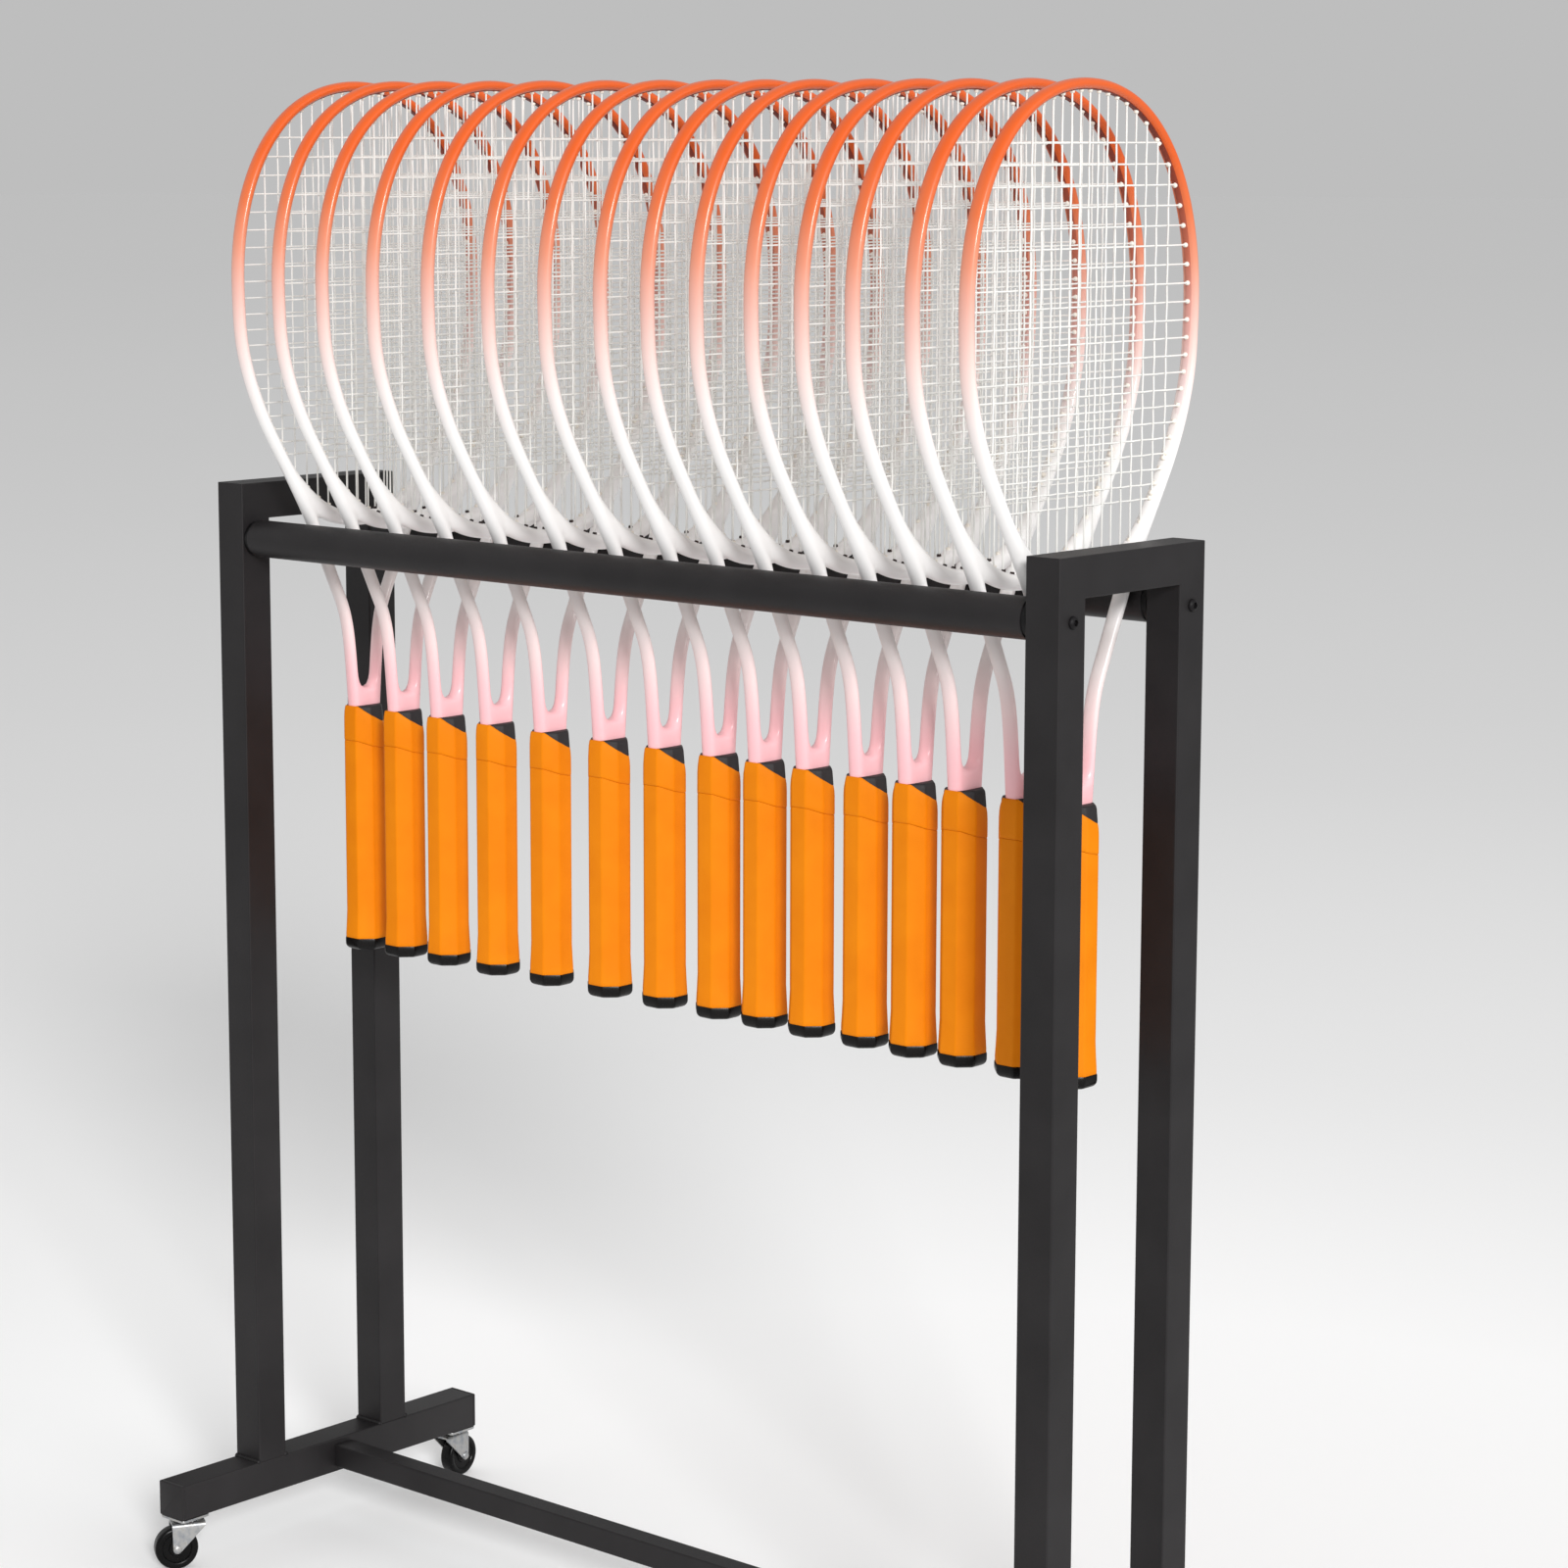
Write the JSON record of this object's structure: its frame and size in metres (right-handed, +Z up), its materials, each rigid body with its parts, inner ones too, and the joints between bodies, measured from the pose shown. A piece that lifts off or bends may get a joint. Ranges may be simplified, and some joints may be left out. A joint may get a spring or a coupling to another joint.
{
  "type": "racket display stand",
  "caption": "Rolling steel floor stand that holds a row of tennis rackets upright, throats resting on two round rails.",
  "frame": {"origin": "on the floor, under the middle of the stand", "axes": "+Z up; +X along the rails to the right as seen from the front; +Y to the back"},
  "size_m": [0.8402, 0.3492, 1.1808],
  "materials": {
    "powder_coated_steel": "charcoal-black satin powder coat on steel tube",
    "black_zinc_steel": "black zinc plating on the tie bolts",
    "bright_zinc_steel": "bright zinc plating on pressed steel",
    "wheel_rubber": "matt black rubber tread on a black hub",
    "racket_lacquer": "gloss lacquer that fades from orange at the crown to white at the shoulders and pink at the throat",
    "grip_tape": "orange wound grip tape with a black collar and butt cap"
  },
  "bodies": {
    "stand": {"left_front_post": "powder_coated_steel", "left_rear_post": "powder_coated_steel", "right_front_post": "powder_coated_steel", "right_rear_post": "powder_coated_steel", "left_top_beam": "powder_coated_steel", "left_foot_beam": "powder_coated_steel", "right_top_beam": "powder_coated_steel", "right_foot_beam": "powder_coated_steel", "front_rail": "powder_coated_steel", "rear_rail": "powder_coated_steel", "bottom_stretcher": "powder_coated_steel", "rail_bolt_left_front": "black_zinc_steel", "rail_bolt_left_rear": "black_zinc_steel", "stretcher_bolt_left": "black_zinc_steel", "rail_bolt_right_front": "black_zinc_steel", "rail_bolt_right_rear": "black_zinc_steel", "stretcher_bolt_right": "black_zinc_steel", "caster_left_front_plate": "bright_zinc_steel", "caster_left_rear_plate": "bright_zinc_steel", "caster_right_front_plate": "bright_zinc_steel", "caster_right_rear_plate": "bright_zinc_steel"},
    "caster_left_front_fork": {"caster_left_front_fork": "bright_zinc_steel"},
    "caster_left_front_wheel": {"caster_left_front_wheel": "wheel_rubber"},
    "caster_left_rear_fork": {"caster_left_rear_fork": "bright_zinc_steel"},
    "caster_left_rear_wheel": {"caster_left_rear_wheel": "wheel_rubber"},
    "caster_right_front_fork": {"caster_right_front_fork": "bright_zinc_steel"},
    "caster_right_front_wheel": {"caster_right_front_wheel": "wheel_rubber"},
    "caster_right_rear_fork": {"caster_right_rear_fork": "bright_zinc_steel"},
    "caster_right_rear_wheel": {"caster_right_rear_wheel": "wheel_rubber"},
    "racket_01": {"racket_01_frame": "racket_lacquer", "racket_01_grip": "grip_tape"},
    "racket_02": {"racket_02_frame": "racket_lacquer", "racket_02_grip": "grip_tape"},
    "racket_03": {"racket_03_frame": "racket_lacquer", "racket_03_grip": "grip_tape"},
    "racket_04": {"racket_04_frame": "racket_lacquer", "racket_04_grip": "grip_tape"},
    "racket_05": {"racket_05_frame": "racket_lacquer", "racket_05_grip": "grip_tape"},
    "racket_06": {"racket_06_frame": "racket_lacquer", "racket_06_grip": "grip_tape"},
    "racket_07": {"racket_07_frame": "racket_lacquer", "racket_07_grip": "grip_tape"},
    "racket_08": {"racket_08_frame": "racket_lacquer", "racket_08_grip": "grip_tape"},
    "racket_09": {"racket_09_frame": "racket_lacquer", "racket_09_grip": "grip_tape"},
    "racket_10": {"racket_10_frame": "racket_lacquer", "racket_10_grip": "grip_tape"},
    "racket_11": {"racket_11_frame": "racket_lacquer", "racket_11_grip": "grip_tape"},
    "racket_12": {"racket_12_frame": "racket_lacquer", "racket_12_grip": "grip_tape"},
    "racket_13": {"racket_13_frame": "racket_lacquer", "racket_13_grip": "grip_tape"},
    "racket_14": {"racket_14_frame": "racket_lacquer", "racket_14_grip": "grip_tape"},
    "racket_15": {"racket_15_frame": "racket_lacquer", "racket_15_grip": "grip_tape"}
  },
  "joints": [
    {"name": "caster_left_front_swivel", "type": "hinge", "parent": "stand", "child": "caster_left_front_fork", "pos_m": [-0.40275, -0.14875, 0.04], "axis": [0, 0, 1], "continuous": true},
    {"name": "caster_left_front_roll", "type": "hinge", "parent": "caster_left_front_fork", "child": "caster_left_front_wheel", "pos_m": [-0.40675, -0.15568, 0.0175], "axis": [-0.866, 0.5, 0], "continuous": true},
    {"name": "caster_left_rear_swivel", "type": "hinge", "parent": "stand", "child": "caster_left_rear_fork", "pos_m": [-0.40275, 0.14875, 0.04], "axis": [0, 0, 1], "continuous": true},
    {"name": "caster_left_rear_roll", "type": "hinge", "parent": "caster_left_rear_fork", "child": "caster_left_rear_wheel", "pos_m": [-0.40345, 0.15672, 0.0175], "axis": [0.9962, 0.0872, 0], "continuous": true},
    {"name": "caster_right_front_swivel", "type": "hinge", "parent": "stand", "child": "caster_right_front_fork", "pos_m": [0.40275, -0.14875, 0.04], "axis": [0, 0, 1], "continuous": true},
    {"name": "caster_right_front_roll", "type": "hinge", "parent": "caster_right_front_fork", "child": "caster_right_front_wheel", "pos_m": [0.40345, -0.15672, 0.0175], "axis": [-0.9962, -0.0872, 0], "continuous": true},
    {"name": "caster_right_rear_swivel", "type": "hinge", "parent": "stand", "child": "caster_right_rear_fork", "pos_m": [0.40275, 0.14875, 0.04], "axis": [0, 0, 1], "continuous": true},
    {"name": "caster_right_rear_roll", "type": "hinge", "parent": "caster_right_rear_fork", "child": "caster_right_rear_wheel", "pos_m": [0.40675, 0.15568, 0.0175], "axis": [0.866, -0.5, 0], "continuous": true},
    {"name": "racket_01_lift", "type": "slide", "parent": "stand", "child": "racket_01", "axis": [0, 0, 1], "range_m": [0, 0.36]},
    {"name": "racket_02_lift", "type": "slide", "parent": "stand", "child": "racket_02", "axis": [0, 0, 1], "range_m": [0, 0.36]},
    {"name": "racket_03_lift", "type": "slide", "parent": "stand", "child": "racket_03", "axis": [0, 0, 1], "range_m": [0, 0.36]},
    {"name": "racket_04_lift", "type": "slide", "parent": "stand", "child": "racket_04", "axis": [0, 0, 1], "range_m": [0, 0.36]},
    {"name": "racket_05_lift", "type": "slide", "parent": "stand", "child": "racket_05", "axis": [0, 0, 1], "range_m": [0, 0.36]},
    {"name": "racket_06_lift", "type": "slide", "parent": "stand", "child": "racket_06", "axis": [0, 0, 1], "range_m": [0, 0.36]},
    {"name": "racket_07_lift", "type": "slide", "parent": "stand", "child": "racket_07", "axis": [0, 0, 1], "range_m": [0, 0.36]},
    {"name": "racket_08_lift", "type": "slide", "parent": "stand", "child": "racket_08", "axis": [0, 0, 1], "range_m": [0, 0.36]},
    {"name": "racket_09_lift", "type": "slide", "parent": "stand", "child": "racket_09", "axis": [0, 0, 1], "range_m": [0, 0.36]},
    {"name": "racket_10_lift", "type": "slide", "parent": "stand", "child": "racket_10", "axis": [0, 0, 1], "range_m": [0, 0.36]},
    {"name": "racket_11_lift", "type": "slide", "parent": "stand", "child": "racket_11", "axis": [0, 0, 1], "range_m": [0, 0.36]},
    {"name": "racket_12_lift", "type": "slide", "parent": "stand", "child": "racket_12", "axis": [0, 0, 1], "range_m": [0, 0.36]},
    {"name": "racket_13_lift", "type": "slide", "parent": "stand", "child": "racket_13", "axis": [0, 0, 1], "range_m": [0, 0.36]},
    {"name": "racket_14_lift", "type": "slide", "parent": "stand", "child": "racket_14", "axis": [0, 0, 1], "range_m": [0, 0.36]},
    {"name": "racket_15_lift", "type": "slide", "parent": "stand", "child": "racket_15", "axis": [0, 0, 1], "range_m": [0, 0.36]}
  ]
}
